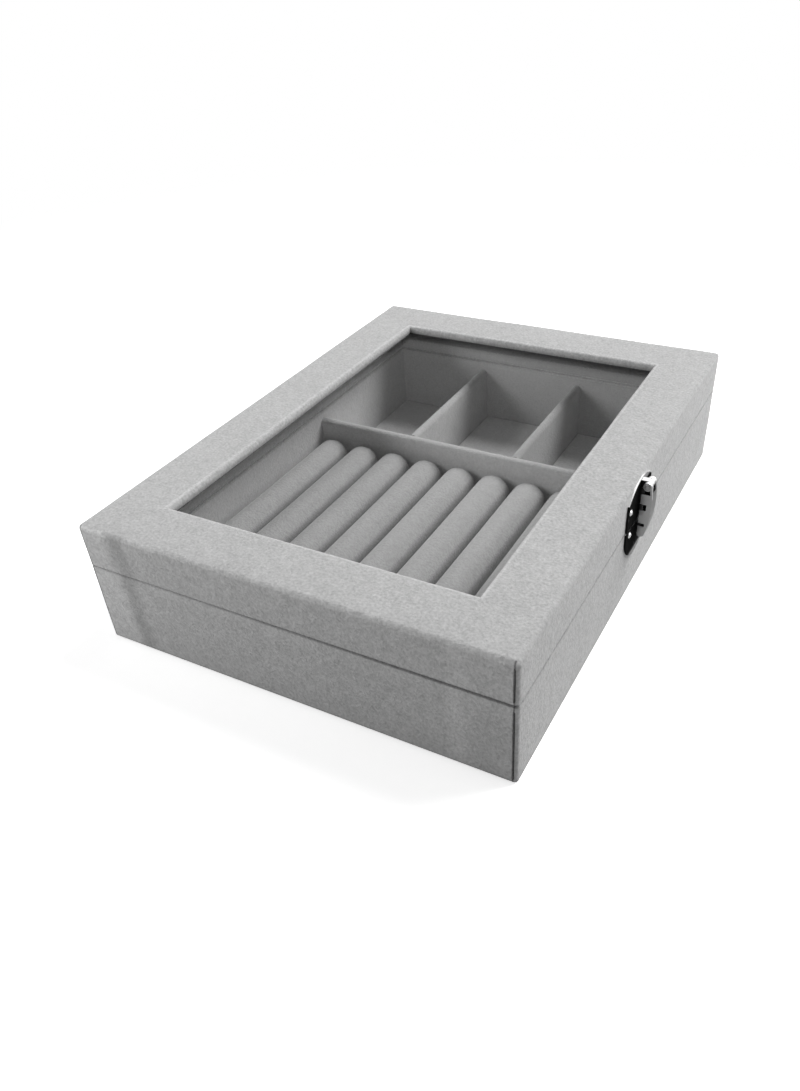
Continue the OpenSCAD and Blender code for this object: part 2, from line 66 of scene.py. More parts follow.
# %% Sizes in millimetres
HALF_W, HALF_L, SEAM, TOP = 75, 100, 30.5, 46
WINDOW_W, WINDOW_L = 54.5, 79.5
ROOM_W, ROOM_L = 65, 90
WALL, CLOTH, FELT, TURN_IN = 10, 0.6, 0.6, 0.8
PARTITION_Y = (20, 24)
print("outside:", 2 * HALF_W, "x", 2 * HALF_L, "x", TOP, "mm, window:", 2 * WINDOW_W, "x",
      2 * WINDOW_L, "mm")

# %% [markdown]
# ## Where the camera stands
# The photograph was solved as a camera problem: seven corners of the box were marked, and the
# camera's place, tilt and lens were fitted until the corners of a 150 x 200 x 46 mm box landed on
# them. The picture is 800 x 1091 pixels, and the lens's axis doesn't meet it in the middle, so the
# camera gets a small shift. Turning a camera by eye until the picture looks right also works, but
# then the lens and the distance are easily mixed up, and every size read from the picture is off.

# %% Camera
PICTURE_W, PICTURE_H, FOCAL = 800, 1091, 888.5
AXIS_X, AXIS_Y = 418.4, 594.5
azimuth, elevation, tilt = (math.radians(angle) for angle in (30.76, 38.24, -3.86))
back = Vector((math.sin(azimuth) * math.cos(elevation), -math.cos(azimuth) * math.cos(elevation),
               math.sin(elevation)))
level = (-back).cross(Vector((0, 0, 1))).normalized()
rise = level.cross(-back)
right = math.cos(tilt) * level + math.sin(tilt) * rise
top = math.cos(tilt) * rise - math.sin(tilt) * level
eye = Vector((136.25, -249.12, 195.38)) * MM
bpy.ops.object.camera_add()
camera = bpy.context.object
camera.matrix_world = Matrix.Translation(eye) @ Matrix((right, top, back)).transposed().to_4x4()
camera.data.lens = camera.data.sensor_width * FOCAL / PICTURE_H
camera.data.shift_x = (PICTURE_W / 2 - AXIS_X) / PICTURE_H
camera.data.shift_y = (AXIS_Y - PICTURE_H / 2) / PICTURE_H
camera.data.clip_start = 0.01
bpy.context.scene.camera = camera
bpy.context.scene.view_settings.view_transform = "Standard"
print("lens", round(camera.data.lens, 2), "shift", round(camera.data.shift_x, 4),
      round(camera.data.shift_y, 4))

# %% [markdown]
# ## Writing finishes as sums
# A material in Blender is a set of nodes joined by links. Joined one by one they soon hide the
# idea, so a small class wraps a node's output: adding or multiplying two of these values adds the
# Math node for it. Everything else comes from one method, `node`, which takes the node's type, its
# settings and what goes into its sockets.

# %% Values that can be added and multiplied
class Value:
    def __init__(self, finish, socket):
        self.finish, self.socket = finish, socket

    def math(self, operation, first, second):
        return self.finish.node("ShaderNodeMath", {0: first, 1: second}, operation=operation)

    def __add__(self, other):
        return self.math("ADD", self, other)

    def __sub__(self, other):
        return self.math("SUBTRACT", self, other)

    def __rsub__(self, other):
        return self.math("SUBTRACT", other, self)

    def __mul__(self, other):
        return self.math("MULTIPLY", self, other)

    def __pow__(self, other):
        return self.math("POWER", self, other)

    def __abs__(self):
        return self.math("ABSOLUTE", self, 0)

    __radd__, __rmul__ = __add__, __mul__


# %% A finish and its nodes
class Finish:
    def __init__(self, name, tree=None):
        self.material = None if tree else bpy.data.materials.new(name)
        if self.material:
            self.material.use_nodes = True
            tree = self.material.node_tree
        self.tree = tree
        tree.nodes.clear()

    def node(self, kind, inputs=None, out=0, **settings):
        made = self.tree.nodes.new(kind)
        for name, value in settings.items():
            setattr(made, name, value)
        for name, value in (inputs or {}).items():
            if isinstance(value, Value):
                self.tree.links.new(value.socket, made.inputs[name])
            else:
                made.inputs[name].default_value = value
        return Value(self, made.outputs[out]) if made.outputs else made

    # What the paints below are made of: places, soft masks, greys and bumps.
    def millimetres(self):
        place = self.node("ShaderNodeTexCoord", out=3)
        return [self.node("ShaderNodeSeparateXYZ", {0: place}, out=axis) * 1000
                for axis in range(3)]

    def noise(self, size, detail=2, stretch=(1, 1, 1), rough=0.5):
        place = self.node("ShaderNodeTexCoord", out=3)
        scale = [1 / (size * MM * share) for share in stretch]
        scaled = self.node("ShaderNodeMapping", {0: place, 3: scale})
        return self.node("ShaderNodeTexNoise", {
            "Vector": scaled, "Scale": 1, "Detail": detail, "Roughness": rough})

    def ramp(self, value, low, high):
        return self.node("ShaderNodeMapRange", {0: value, 1: low, 2: high},
                         interpolation_type="SMOOTHSTEP")

    def band(self, value, middle, half, soft):
        return 1 - self.ramp(abs(value - middle), half, half + soft)

    def larger(self, first, second):
        return self.node("ShaderNodeMath", {0: first, 1: second}, operation="MAXIMUM")

    def normal(self):
        turned = self.node("ShaderNodeTexCoord", out=1)
        return [self.node("ShaderNodeSeparateXYZ", {0: turned}, out=axis) for axis in range(3)]

    def grey(self, shade):
        return self.node("ShaderNodeCombineColor", {0: shade, 1: shade, 2: shade})

    def tint(self, shade, colour):
        return self.node("ShaderNodeCombineColor", dict(enumerate(shade * part for part in colour)))

    def bump(self, height, distance, strength=1):
        return self.node("ShaderNodeBump", {"Height": height, "Distance": distance * MM,
                                            "Strength": strength})

    def surface(self, shader):
        self.node("ShaderNodeOutputMaterial", {"Surface": shader})


# %% [markdown]
# ## The room
# The object was photographed on white. The floor is a middle grey for light that bounces off it,
# and plain white for the camera, so the background stays white and still takes the box's shadow.
# Far from the box it turns into white that needs no lamp, and from below one looks through it, so
# that the underside of the box can be seen too. Brighter lamps would also make a white floor, but
# they would bleach the box. The sky gives a soft even light. A wide lamp behind the box, to the
# right, makes the top the brightest side. A weaker one lights the long right side, and a small one
# keeps the short front side from going dark.

# %% Sky
SKY = 0.104
sky = bpy.data.worlds.new("studio")
sky.use_nodes = True
bpy.context.scene.world = sky
air = Finish("studio", sky.node_tree)
path = {name: air.node("ShaderNodeLightPath", out=index)
        for name, index in (("camera", 0), ("glossy", 3), ("transmission", 6))}
strength = SKY + (path["camera"] + path["glossy"] + path["transmission"]) * (1 - SKY)
air.node("ShaderNodeOutputWorld", {"Surface": air.node("ShaderNodeBackground", {
    "Color": (1, 1, 1, 1), "Strength": strength})})
print("the sky lights the box with a strength of", SKY)

# %% Floor
SHADOW_ENDS, ALL_WHITE = 280, 600
bpy.ops.mesh.primitive_plane_add(size=8, location=(0, 0, -0.05 * MM))
floor = bpy.context.object
floor.name = "floor"
ground = Finish("floor")
bounced = ground.node("ShaderNodeBsdfDiffuse", {"Color": (0.5, 0.5, 0.5, 1)})
paper = ground.node("ShaderNodeBsdfDiffuse", {"Color": (1, 1, 1, 1)})
glow = ground.node("ShaderNodeEmission", {"Strength": 0.5})
near = ground.node("ShaderNodeAddShader", {0: paper, 1: glow})
plain_white = ground.node("ShaderNodeEmission", {"Strength": 1})
clear_below = ground.node("ShaderNodeBsdfTransparent")

# %% Which floor is seen from where
across, along = ground.millimetres()[:2]
distance = (across * across + along * along) ** 0.5
far = ground.ramp(distance, SHADOW_ENDS, ALL_WHITE)
white = ground.node("ShaderNodeMixShader", {0: far, 1: near, 2: plain_white})
by_camera = ground.node("ShaderNodeLightPath", out=0)
seen = ground.node("ShaderNodeMixShader", {0: by_camera, 1: bounced, 2: white})
from_below = ground.node("ShaderNodeNewGeometry", out=6)
ground.surface(ground.node("ShaderNodeMixShader", {0: from_below, 1: seen, 2: clear_below}))
floor.data.materials.append(ground.material)
print("floor nodes:", len(ground.tree.nodes))

# %% Lamps
def soft_lamp(name, place, width, power):
    bpy.ops.object.light_add(type="AREA", location=place)
    lamp = bpy.context.object
    lamp.name = name
    lamp.data.shape, lamp.data.size, lamp.data.energy = "DISK", width, power
    lamp.rotation_euler = Vector(place).to_track_quat("Z", "Y").to_euler()
    print(name, "at", place, "gives", power, "W")


soft_lamp("window_light", (0.55, 0.75, 1.1), 0.9, 22.5)
soft_lamp("side_light", (1.6, 0.5, 0.5), 0.9, 4)
soft_lamp("fill_light", (-0.62, -0.52, 0.42), 0.5, 4.6)

# %% [markdown]
# ## Velvet
# Velvet is a dense pile of short upright fibres. Seen from above it is matt and dark, and at a
# grazing angle the fibre tips catch the light, which the shader's sheen gives. The pile never lies
# evenly: each half millimetre differs a little in shade, which is the fine grain of the photograph,
# and a hand that brushed it leaves wide soft smudges. Both are noise, and the grain also feeds a
# bump, so the surface breaks up the light as fibres do.

# %% Velvet finish
def velvet(name, shade, grain=0.8, smudge=0.12, paint=None):
    cloth = Finish(name)
    fine = cloth.noise(0.9, 2, rough=0.6) - 0.5
    tuft = cloth.noise(2.6, 2) - 0.5
    wide = cloth.noise(22, 2) - 0.5
    level = 1 + fine * grain + tuft * (grain * 0.4) + wide * smudge
    if paint:
        level = level * paint(cloth)
    pile = cloth.bump(fine + tuft * 0.6, 0.35, 0.7)
    cloth.surface(cloth.node("ShaderNodeBsdfPrincipled", {
        "Base Color": cloth.grey(level * shade), "Roughness": 0.95, "Specular IOR Level": 0.15,
        "Sheen Weight": 0.3, "Sheen Roughness": 0.45, "Normal": pile}))
    return cloth.material


# %% [markdown]
# ## Painted light and shade on the outer velvet
# Where cloth ends or folds, the finish paints a thin dark line of shade: in the seam between lid
# and base, and in an upright crease near each corner of the short sides. Beyond each crease the
# rounded corner gets a painted highlight. Each such mark could be painted by hand on a picture of
# the surface. Here each is a soft band at a measured place, which darkens or lightens the pile by a
# share, so the marks stay sharp and follow the box's sizes.

# %% Painted shade in seam and creases, painted highlight on the corners
CREASE = 73.75


def on_short_side(cloth, y):
    return cloth.ramp(abs(y), HALF_L - 1, HALF_L - 0.7)


def on_right_side(cloth, x):
    return cloth.ramp(x, HALF_W - 0.7, HALF_W - 0.1)


def painted_seams_and_corners(cloth, x, y, z):
    edge = cloth.noise(1.1, 3, rough=0.6) - 0.5
    rim = cloth.ramp(cloth.larger(abs(x) - HALF_W, abs(y) - HALF_L), -0.7, -0.45)
    share = cloth.ramp(x, -60, 75)
    # painted shade in the seam between lid and base, stronger towards +x, weaker on the right side
    seam_shadow = cloth.band(z + edge * 0.3, SEAM, 0.14 + share * 0.16, 0.6) * rim * \
        (0.5 + share * 0.5) * (1 - on_right_side(cloth, x) * 0.65)
    # painted shade in the upright creases near the corners of the short sides
    crease_shadow = cloth.band(abs(x), CREASE, 0.12, 0.25) * on_short_side(cloth, y)
    # painted highlight on the rounded corner beyond each crease, stronger at +x
    corner = cloth.ramp(abs(x), CREASE + 0.2, CREASE + 0.5) * on_short_side(cloth, y) * \
        (0.35 + cloth.ramp(x, -10, 10) * 0.65)
    return (1 - seam_shadow * 0.62) * (1 - crease_shadow * 0.55) * (1 + corner * 0.22)


# %% [markdown]
# The light is painted to fall off across each side: the short sides darker towards +x, the long
# right side lighter towards the back, and the top a little darker near the front. Just above where
# the box stands the cloth gets painted shade, and along the upper edge of the short sides a painted
# highlight. On the front, at the left, a painted dark band with a painted light one beside it, and
# at the right a painted light band, give the shade and light of the low ridge where the cloth of
# the long sides ends underneath. The lower right of the front gets a patch of painted shade.

# %% Painted light falling off across the sides, and painted shade and light on the front
def painted_side_light(cloth, x, y, z):
    edge = cloth.noise(1.1, 3, rough=0.6) - 0.5
    # painted highlight along the upper edge of the short sides
    top_edge_highlight = cloth.ramp(z + edge * 2.6, 43.9, 45.3) * (1 - cloth.ramp(z, 45.5, TOP)) * \
        on_short_side(cloth, y)
    # painted falloff of light: short sides darker towards +x, right side lighter towards the back,
    # top darker near the front
    light_falloff = (1 - x * 0.0011 * on_short_side(cloth, y) + (y + 70) * 0.0007 * on_right_side(cloth, x) -
           cloth.ramp(-60 - y, 0, 35) * cloth.ramp(z, 45, 45.6) * 0.035)
    # painted shade just above where the box stands
    bottom_shade = 1 - cloth.ramp(z, 0.6, 2.2)
    return light_falloff * (1 - bottom_shade * 0.35) * (1 + top_edge_highlight * 0.28)


def painted_front_light(cloth, x, y, z):
    front = cloth.ramp(0 - y, HALF_L - 1, HALF_L - 0.7)
    slant = x + z * 0.055 + (cloth.noise(9, 2) - 0.5) * 5
    # painted shade of the ridge at the left of the front, and painted light beside it towards the
    # corner
    left_ridge_shade = cloth.band(slant, -57.6, 0.5, 4.4) * front
    left_ridge_light = (1 - cloth.ramp(slant, -64, -59)) * front
    # painted light on the ridge at the right of the front
    right_ridge_light = cloth.band(x + (cloth.noise(6, 2) - 0.5) * 4, 57, 0.8, 3.5) * front
    # painted shade on the lower right of the front
    lower_right_shade = cloth.ramp(x, 58, 68) * cloth.ramp(30 - z, 0, 8) * front
    return (1 - left_ridge_shade * 0.19) * (1 + left_ridge_light * 0.2) * (1 + right_ridge_light * 0.09) * (1 - lower_right_shade * 0.09)


# %% [markdown]
# Where the cloth turns into the window, its edge gets a painted highlight as a pale lip. Below that
# it has painted shade, most of all where it touches the glass. Inside the box the joint between lid
# and base gets a soft dark line of painted shade.

# %% Round the window and inside the rim
def openings(cloth, x, y, z):
    window = cloth.larger(abs(x) - WINDOW_W, abs(y) - WINDOW_L)
    # painted highlight on the window's edge, painted shade below it and where it touches the glass
    lip_highlight = cloth.band(window, 1.1, 0.25, 0.5) * cloth.ramp(z, 45, 45.4)
    under_shade = (1 - cloth.ramp(z, 42.9, 45)) * (1 - cloth.ramp(window, 2, 3))
    touch_shade = (1 - cloth.ramp(z, 43, 43.3)) * (1 - cloth.ramp(window, 2, 3))
    inner_rim = cloth.larger(abs(x) - ROOM_W, abs(y) - ROOM_L)
    # painted shade in the joint between lid and base, inside the rim
    joint_shade = cloth.band(z, SEAM, 0.35, 0.5) * (1 - cloth.ramp(inner_rim, 0.3, 1))
    return (1 + lip_highlight * 0.16) * (1 - under_shade * 0.5) * (1 - touch_shade * 0.7) * (1 - joint_shade * 0.3)


# all the painted light and shade of the outer velvet, in one factor
def outer_painted_light(cloth):
    place = cloth.millimetres()
    return painted_side_light(cloth, *place) * openings(cloth, *place) * painted_seams_and_corners(cloth, *place) * \
        painted_front_light(cloth, *place)


# %% [markdown]
# ## Shade inside the box
# The lining is painted darkest high on the walls, under the lid's border, and most of all at the
# back, more so towards +x, with a dark line of painted shade at the joint. The wrapped boards get
# painted light and shade too: the partition, which stands across the box, is painted lighter than
# the two dividers, less so at its top and towards +x, and the right divider darker than the left.
# The lamps give part of this by themselves, but not the deep shade at the back: the pane below lets
# all their light in, where a real one throws some of it back. So the finish carries the rest.

# %% Paint of the linings and boards
def shaded(cloth):
    x, y, z = cloth.millimetres()
    # painted shade high on the walls, in the joint, and at the back, more so towards +x
    back_wall = cloth.ramp(y, ROOM_L - 0.8, ROOM_L - 0.4)
    upper = cloth.ramp(z, 37, 40.5) * 0.5 + cloth.ramp(z, SEAM, SEAM + 1) * 0.1
    joint_shade = cloth.band(z, SEAM, 0.7, 0.9)
    return (1 - upper) * (1 - joint_shade * (0.3 - back_wall * 0.2)) * \
        (1 - back_wall * cloth.ramp(x, -50, 30) * 0.3) * \
        (1 - back_wall * cloth.ramp(z, 33, 38) * 0.68)


# painted light and shade on the wrapped boards: the partition lighter, the right divider darker
def painted_board_shading(cloth):
    x, y, z = cloth.millimetres()
    crosswise = 1 - cloth.ramp(y, PARTITION_Y[1] + 0.2, PARTITION_Y[1] + 0.6)
    partition = 0.3 - cloth.ramp(z, 25.5, 26.6) * 0.24 - cloth.ramp(x, 0, 60) * 0.14
    return 1 + crosswise * partition - (1 - crosswise) * cloth.ramp(x, -20, 20) * 0.18


# %% The velvets
outer_velvet = velvet("outer_velvet", 0.445, paint=outer_painted_light)
# inner greys set to how light each piece looks in the box: painted light on the pads, painted shade
# on the boards
lining_velvet = velvet("lining_velvet", 0.49, grain=0.4, smudge=0.1, paint=shaded)
tray_velvet = velvet("tray_velvet", 0.375, grain=0.4, smudge=0.1, paint=painted_board_shading)
pad_velvet = velvet("pad_velvet", 0.62, grain=0.4, smudge=0.1)
print("finishes:", [m.name for m in bpy.data.materials if "velvet" in m.name])

# %% [markdown]
# ## Shaping by hand, in code
# Each piece starts as a plain block of the right size and is shaped in edit mode, as one would by
# hand. Two small helpers carry that: `block` starts one, and `pick` selects the faces, edges or
# corners that pass a test, because an operator acts on whatever is selected. Writing each corner's
# place by hand would do too, but then nobody can see any more how the shape came about.

# %% Start a block, select by place
def deselect():
    if bpy.context.object and bpy.context.object.mode == "EDIT":
        bpy.ops.object.mode_set(mode="OBJECT")
    bpy.ops.object.select_all(action="DESELECT")


def block(name, low, high):
    deselect()
    low, high = Vector(low) * MM, Vector(high) * MM
    bpy.ops.mesh.primitive_cube_add(size=1, location=(low + high) / 2)
    piece = bpy.context.object
    piece.name, piece.scale = name, high - low
    bpy.ops.object.transform_apply(location=True, rotation=True, scale=True)
    bpy.ops.object.mode_set(mode="EDIT")
    bpy.ops.mesh.select_all(action="DESELECT")
    return piece


def middle(item):
    return sum((v.co for v in item.verts), Vector()) / len(item.verts) / MM


def pick(kind, test):
    bpy.ops.mesh.select_mode(type=kind)
    bpy.ops.mesh.select_all(action="DESELECT")
    mesh = bmesh.from_edit_mesh(bpy.context.object.data)
    items = {"VERT": mesh.verts, "EDGE": mesh.edges, "FACE": mesh.faces}[kind]
    for item in items:
        if test(item):
            item.select_set(True)
    bmesh.update_edit_mesh(bpy.context.object.data)


# %% Cut, move, round off
def slices(axis, places):
    normal = Vector((axis == 0, axis == 1, axis == 2))
    for place in places:
        bpy.ops.mesh.select_all(action="SELECT")
        bpy.ops.mesh.bisect(plane_co=normal * place * MM, plane_no=normal)


def move(y=0, z=0):
    bpy.ops.transform.translate(value=(0, y * MM, z * MM))


def round_off(radius, segments):
    bpy.ops.mesh.bevel(offset=radius * MM, segments=segments, affect="EDGES", clamp_overlap=False)


# %% Finish a piece
def apply(piece, kind, **settings):
    modifier = piece.modifiers.new(kind.lower(), kind)
    for name, value in settings.items():
        setattr(modifier, name, value)
    bpy.ops.object.modifier_apply(modifier=modifier.name)


def complete(piece, body, slot, material, *nodes, angle=40):
    deselect()
    bpy.context.view_layer.objects.active = piece
    piece.select_set(True)
    bpy.ops.object.transform_apply(location=True, rotation=True, scale=True)
    bpy.ops.object.shade_smooth_by_angle(angle=math.radians(angle))
    piece.data.materials.clear()
    piece.data.materials.append(material)
    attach(piece, body)
    if nodes:
        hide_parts(*nodes)
    print(piece.name, "has", len(piece.data.polygons), "faces and stands for", nodes or "no node")


# %% [markdown]
# ## The velvet of the lid
# One sheet of velvet covers the lid. It starts under the glass frame, comes up through the window,
# crosses the border, turns down over the sides and ends inside the lower rim. The model follows
# that path: a block is opened at the window and below, and its edges are rounded with the radii of
# cloth over board. One skin that runs all the way round looks more like one sheet of velvet than
# five plates would, because its edges are soft and nowhere open.

# %% Tests for edges
def upright(edge):
    a, b = (v.co / MM for v in edge.verts)
    return abs(a.x - b.x) < 0.01 and abs(a.y - b.y) < 0.01 and abs(a.z - b.z) > 0.4


def sharp(edge):
    return len(edge.link_faces) == 2 and edge.calc_face_angle() > math.radians(50)


def level_at(edge, height):
    return all(abs(v.co.z / MM - height) < 0.02 for v in edge.verts)


def outside(edge):
    place = middle(edge)
    return abs(place.x) > HALF_W - 0.1 or abs(place.y) > HALF_L - 0.1


def inside(edge, half_w, half_l):
    place = middle(edge)
    return abs(place.x) < half_w and abs(place.y) < half_l


# %% Lid: a block opened at the window and below
CORNER, BORDER, LIP, UNDER = 1.3, HALF_W - WINDOW_W, 3.2, 6
lid = block("lid_velvet", (-HALF_W, -HALF_L, SEAM), (HALF_W, HALF_L, TOP))
pick("FACE", lambda f: f.normal.z > 0.9)
bpy.ops.mesh.inset(thickness=BORDER * MM)
bpy.ops.mesh.extrude_region_move(TRANSFORM_OT_translate={"value": (0, 0, -LIP * MM)})
bpy.ops.mesh.inset(thickness=0.01 * MM)
bpy.ops.mesh.delete(type="FACE")
pick("EDGE", lambda e: e.is_boundary)
bpy.ops.transform.resize(value=(1 + UNDER / WINDOW_W, 1 + UNDER / WINDOW_L, 1),
                         center_override=(0, 0, (TOP - LIP) * MM))
pick("FACE", lambda f: f.normal.z < -0.9 and middle(f).z < SEAM + 0.5)
bpy.ops.mesh.inset(thickness=WALL * MM)
bpy.ops.mesh.delete(type="FACE")
pick("EDGE", lambda e: e.is_boundary and level_at(e, SEAM))
bpy.ops.mesh.extrude_region_move(TRANSFORM_OT_translate={"value": (0, 0, TURN_IN * MM)})

# %% Lid: rounded edges
pick("EDGE", lambda e: sharp(e) and outside(e) and (upright(e) or level_at(e, TOP)))
round_off(CORNER, 5)
pick("EDGE", lambda e: sharp(e) and level_at(e, TOP) and
     inside(e, WINDOW_W + 5.5, WINDOW_L + 5.5))
round_off(1.5, 5)


def round_the_rim(*heights):
    pick("EDGE", lambda e: sharp(e) and any(level_at(e, height) for height in heights) and
         not inside(e, ROOM_W + 1, ROOM_L + 1))
    round_off(0.6, 3)
    pick("EDGE", lambda e: sharp(e) and level_at(e, SEAM))
    round_off(0.4, 2)


round_the_rim(SEAM)
print("lid velvet so far:", len(bmesh.from_edit_mesh(lid.data).faces), "faces")

# %% [markdown]
# ## Where the sheet is folded at the corners
# The cloth of the long sides runs round the corners on to the short sides. The cloth of each short
# side is folded down over it and ends about a millimetre from the corner, and there the photograph
# shows a dark upright crease. A painted line alone would do from far away, but it is gone when the
# light comes from the side. So slices through the block give the crease its edges: the middle row
# is pushed in, and the flap beside it comes out a little, as a second layer does.

# %% Crease and flap
FLAP = CREASE - 0.35
GROOVE = (CREASE - 0.12, CREASE + 0.12)
ON_END = HALF_L - 0.3


def fold(low, high):
    for side in (-1, 1):
        def on_side(v):
            return v.co.y * side > ON_END * MM and low < v.co.z / MM < high
        pick("VERT", lambda v: on_side(v) and
             GROOVE[0] - 0.05 < abs(v.co.x) / MM < GROOVE[1] + 0.05)
        move(y=-0.5 * side)
        pick("VERT", lambda v: on_side(v) and abs(v.co.x) / MM < FLAP + 0.05)
        move(y=0.2 * side)


def both(places):
    return [place * side for place in places for side in (-1, 1)]


slices(0, both([8, 20, 32, 44, 60, 66, FLAP, *GROOVE]))
slices(1, both([0, 13, 26, 39, 52, 65, 86, 93]))
slices(2, [31.8, 32.4, 35.5, 39, 42.9, 43.8])
fold(32, 43.5)
print("lid velvet with its creases:", len(bmesh.from_edit_mesh(lid.data).faces), "faces")

# %% [markdown]
# ## Thickness and small waves
# Cloth that is glued over a board by hand is never quite flat. A Displace modifier with a soft
# cloud texture gives waves of a fifth of a millimetre, only where the sheet shows and has room, and
# a Solidify modifier gives it its thickness, towards the board. Moving points at random instead
# would crumple the sheet, because neighbours wouldn't know of each other.

# %% Waves, then thickness
waves = bpy.data.textures.new("waves", "CLOUDS")
waves.noise_scale = 0.016


def cloth_over_board(piece, moves, wave=0.3):
    bpy.ops.object.mode_set(mode="OBJECT")
    loose = piece.vertex_groups.new(name="loose")
    loose.add([v.index for v in piece.data.vertices if moves(v.co / MM)], 1, "REPLACE")
    apply(piece, "DISPLACE", texture=waves, strength=wave * MM, mid_level=0.5,
          texture_coords="LOCAL", vertex_group="loose")
    apply(piece, "SOLIDIFY", thickness=CLOTH * MM, offset=-1, use_even_offset=True)


def on_lid_outside(p):
    return p.z > 43.4 or (p.z > 31.4 and max(abs(p.x) / HALF_W, abs(p.y) / HALF_L) > 0.97)


cloth_over_board(lid, on_lid_outside)
complete(lid, "lid", "outer_velvet", outer_velvet, "lid_cover")

# %% [markdown]
# ## The velvet of the base
# The base is covered the same way: the sheet starts under the box, comes up the sides and goes over
# the rim to the lining. So it is made with the same steps, and its creases stand exactly below
# those of the lid.

# %% Base velvet
HEM = 14
base = block("base_velvet", (-HALF_W, -HALF_L, FELT), (HALF_W, HALF_L, SEAM))
pick("FACE", lambda f: f.normal.z > 0.9)
bpy.ops.mesh.inset(thickness=WALL * MM)
bpy.ops.mesh.delete(type="FACE")
pick("EDGE", lambda e: e.is_boundary)
bpy.ops.mesh.extrude_region_move(TRANSFORM_OT_translate={"value": (0, 0, -TURN_IN * MM)})
pick("FACE", lambda f: f.normal.z < -0.9)
bpy.ops.mesh.inset(thickness=HEM * MM)
bpy.ops.mesh.delete(type="FACE")
pick("EDGE", lambda e: sharp(e) and upright(e) and outside(e))
round_off(CORNER, 5)
round_the_rim(FELT, SEAM)

# %% Base velvet: creases, waves and thickness
slices(0, both([8, 20, 32, 44, 56, 66, FLAP, *GROOVE]))
slices(1, both([0, 13, 26, 39, 52, 65, 78, 91]))
slices(2, [1.6, 2.2, 8, 14, 20, 26, 28.2, 28.8])
fold(2, 28.4)
cloth_over_board(base, lambda p: 1.4 < p.z < 29.4)
complete(base, "base", "outer_velvet", outer_velvet, "base_cover")

# %% [markdown]
# ## The lining
# The inside is lined with a softer velvet: one band round the walls of the tray and one round those
# of the lid. Four flat strips would leave open corners, so a band is made from a block that loses
# its top and bottom and is turned inside out, with its good side to the room. It is cut into rows
# and columns, so that it can wave a little as glued cloth does.

# %% Lining
def lining(name, low, high, body, node):
    piece = block(name, (-ROOM_W, -ROOM_L, low), (ROOM_W, ROOM_L, high))
    pick("FACE", lambda f: abs(f.normal.z) > 0.9)
    bpy.ops.mesh.delete(type="FACE")
    bpy.ops.mesh.select_all(action="SELECT")
    bpy.ops.mesh.flip_normals()
    pick("EDGE", upright)
    round_off(0.6, 3)
    slices(0, range(-60, 61, 12))
    slices(1, range(-84, 85, 12))
    slices(2, [low + (high - low) * share for share in (0.1, 0.4, 0.7, 0.92)])
    cloth_over_board(piece, lambda p: low + 1 < p.z < high - 1, wave=0.12)
    complete(piece, body, "lining_velvet", lining_velvet, node)


lining("tray_lining_velvet", 3.4, 29.65, "base", "tray_lining")
lining("lid_lining_velvet", 31.4, 40.7, "lid", "lid_lining")

# %% [markdown]
# ## Partition and dividers
# A cross partition and two short dividers part the tray. Each is a board with velvet folded over
# it, so its top edge is a full half round, and its broad sides bulge a little. The half round
# could be half a cylinder set on a block, but then a seam shows where they meet. A bevel nearly as
# wide as half the board makes it in one step.

# %% Partition and dividers
def wrapped_board(name, low, high, long_axis, node):
    piece = block(name, low, high)
    thick = high[1 - long_axis] - low[1 - long_axis]
    length = int(high[long_axis] - low[long_axis])
    pick("EDGE", lambda e: level_at(e, high[2]) and
         abs((e.verts[0].co - e.verts[1].co)[long_axis]) > 5 * MM)
    round_off(thick / 2 - 0.05, 6)
    slices(long_axis, [low[long_axis] + step for step in range(6, length, 9)])
    slices(2, [8, 14, 20])
    bpy.ops.object.mode_set(mode="OBJECT")
    apply(piece, "DISPLACE", texture=waves, strength=0.25 * MM, mid_level=0.5,
          texture_coords="LOCAL")
    complete(piece, "base", "tray_velvet", tray_velvet, node)


# %% Partition and two dividers
END_W, END_L, FOOT, THICK, DIVIDER_TOP = ROOM_W - 0.1, ROOM_L - 0.1, 3.5, 3.5, 26.6
near_y, far_y = PARTITION_Y
wrapped_board("partition_velvet", (-END_W, near_y, FOOT), (END_W, far_y, 27), 0, "cross_partition")
for side, left_x in (("left", -25.55), ("right", 18.25)):
    wrapped_board(f"divider_{side}_velvet", (left_x, far_y, FOOT),
                  (left_x + THICK, END_L, DIVIDER_TOP), 1, f"divider_{side}")

# %% [markdown]
# ## Floors of the compartments
# Each compartment has a loose card with velvet on it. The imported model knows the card's size, so
# the block takes it from there. Its edges are rounded, and its middle stands a quarter of a
# millimetre higher, as cloth does that is glued under its rim. Bump in the finish could fake that,
# but the light on a real crown changes as one walks round it.

# %% Compartment pads
def pad(name, node):
    low, high = (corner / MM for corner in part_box(node))
    piece = block(name, low, high)
    pick("EDGE", lambda e: sharp(e) and (upright(e) or level_at(e, high.z)))
    round_off(0.35, 3)
    for axis in (0, 1):
        slices(axis, [low[axis] + (high[axis] - low[axis]) * share for share in
                      (0.06, 0.2, 0.4, 0.6, 0.8, 0.94)])
    pick("VERT", lambda v: v.co.z / MM > high.z - 0.1 and
         low.x + 4 < v.co.x / MM < high.x - 4 and low.y + 6 < v.co.y / MM < high.y - 6)
    move(z=0.25)
    bpy.ops.object.mode_set(mode="OBJECT")
    complete(piece, "base", "tray_velvet", pad_velvet, node)


for side in ("left", "middle", "right"):
    pad(f"pad_{side}_velvet", f"pad_{side}")

# %% [markdown]
# ## Felt under the base
# A sheet of thin dark felt covers the bottom and hides the ends of the velvet. Felt is pressed wool
# with no weave, so its finish is one fine noise, longer one way than the other. Single hairs would
# be finer still, but nobody looks at the bottom from that near.

